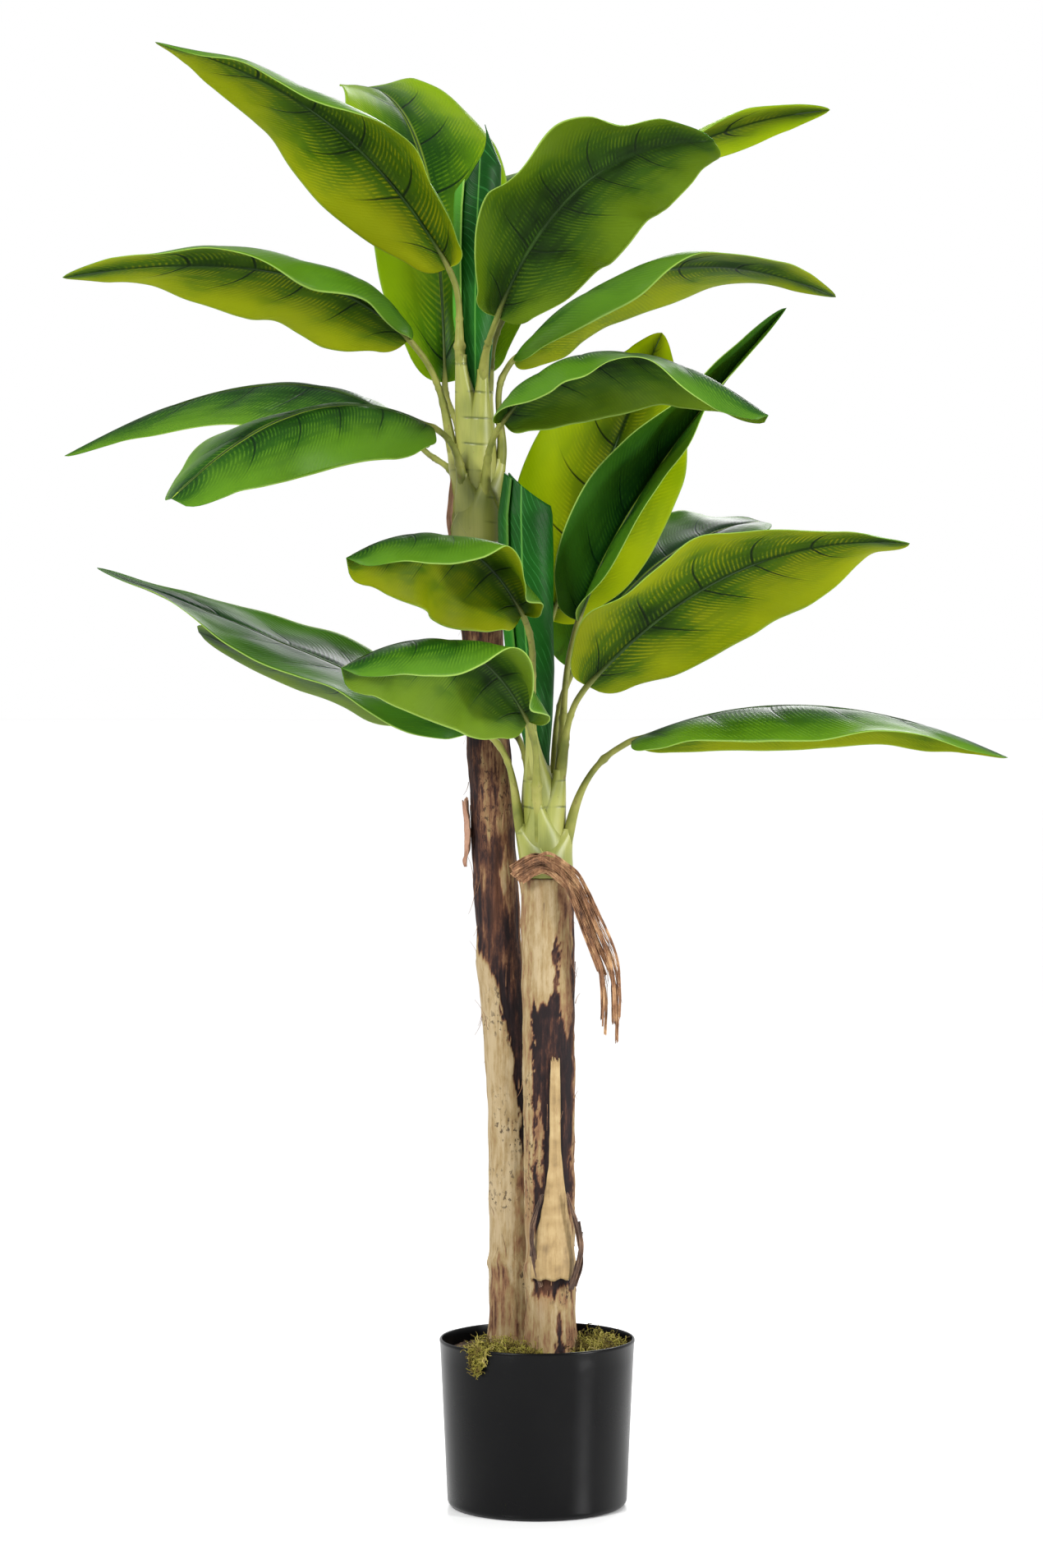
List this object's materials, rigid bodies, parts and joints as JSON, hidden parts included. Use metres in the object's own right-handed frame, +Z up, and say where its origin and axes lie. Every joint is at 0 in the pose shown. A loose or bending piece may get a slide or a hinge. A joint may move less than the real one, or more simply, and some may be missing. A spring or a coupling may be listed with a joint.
{
  "type": "artificial banana plant in a pot",
  "caption": "Artificial banana plant: leaning bark-covered trunks of unequal height, broad arching leaves on wired stalks, in a plain round pot with moss.",
  "frame": {"origin": "centre of the pot's flat underside, on the surface that it stands on", "axes": "+Z up along the trunks, +X to the right and -Y to the front, where the short trunk stands"},
  "size_m": [0.97, 0.7101, 1.4819],
  "materials": {
    "pot": "moulded black plastic, satin",
    "soil": "cement filling under loose coir",
    "moss": "dry curly moss",
    "bark": "fibrous dry bark",
    "husk": "dry fibrous leaf base",
    "sheath": "smooth moulded coating, satin",
    "leaf": "coated woven leaf, satin, lighter below",
    "spear": "coated woven leaf, rolled"
  },
  "bodies": {
    "root": {"pot": "pot", "soil": "soil", "moss_left": "moss", "moss_right": "moss", "tall_trunk": "bark", "tall_sheaths": "sheath", "short_trunk": "bark", "short_sheaths": "sheath", "tall_spear": "spear", "short_spear": "spear", "tall_leaf_1": "leaf", "tall_stalk_1": "sheath", "tall_leaf_2": "leaf", "tall_stalk_2": "sheath", "tall_leaf_3": "leaf", "tall_stalk_3": "sheath", "tall_leaf_4": "leaf", "tall_stalk_4": "sheath", "tall_leaf_5": "leaf", "tall_stalk_5": "sheath", "tall_leaf_6": "leaf", "tall_stalk_6": "sheath", "tall_leaf_7": "leaf", "tall_stalk_7": "sheath", "tall_leaf_8": "leaf", "tall_stalk_8": "sheath", "tall_leaf_9": "leaf", "tall_stalk_9": "sheath", "tall_leaf_10": "leaf", "tall_stalk_10": "sheath", "short_leaf_1": "leaf", "short_stalk_1": "sheath", "short_leaf_2": "leaf", "short_stalk_2": "sheath", "short_leaf_3": "leaf", "short_stalk_3": "sheath", "short_leaf_4": "leaf", "short_stalk_4": "sheath", "short_leaf_5": "leaf", "short_stalk_5": "sheath", "short_leaf_6": "leaf", "short_stalk_6": "sheath", "short_leaf_7": "leaf", "short_stalk_7": "sheath", "short_leaf_8": "leaf", "short_stalk_8": "sheath", "short_leaf_9": "leaf", "short_stalk_9": "sheath", "bark_tongue": "husk", "bark_flap": "husk", "husk_strip": "husk"}
  },
  "joints": []
}
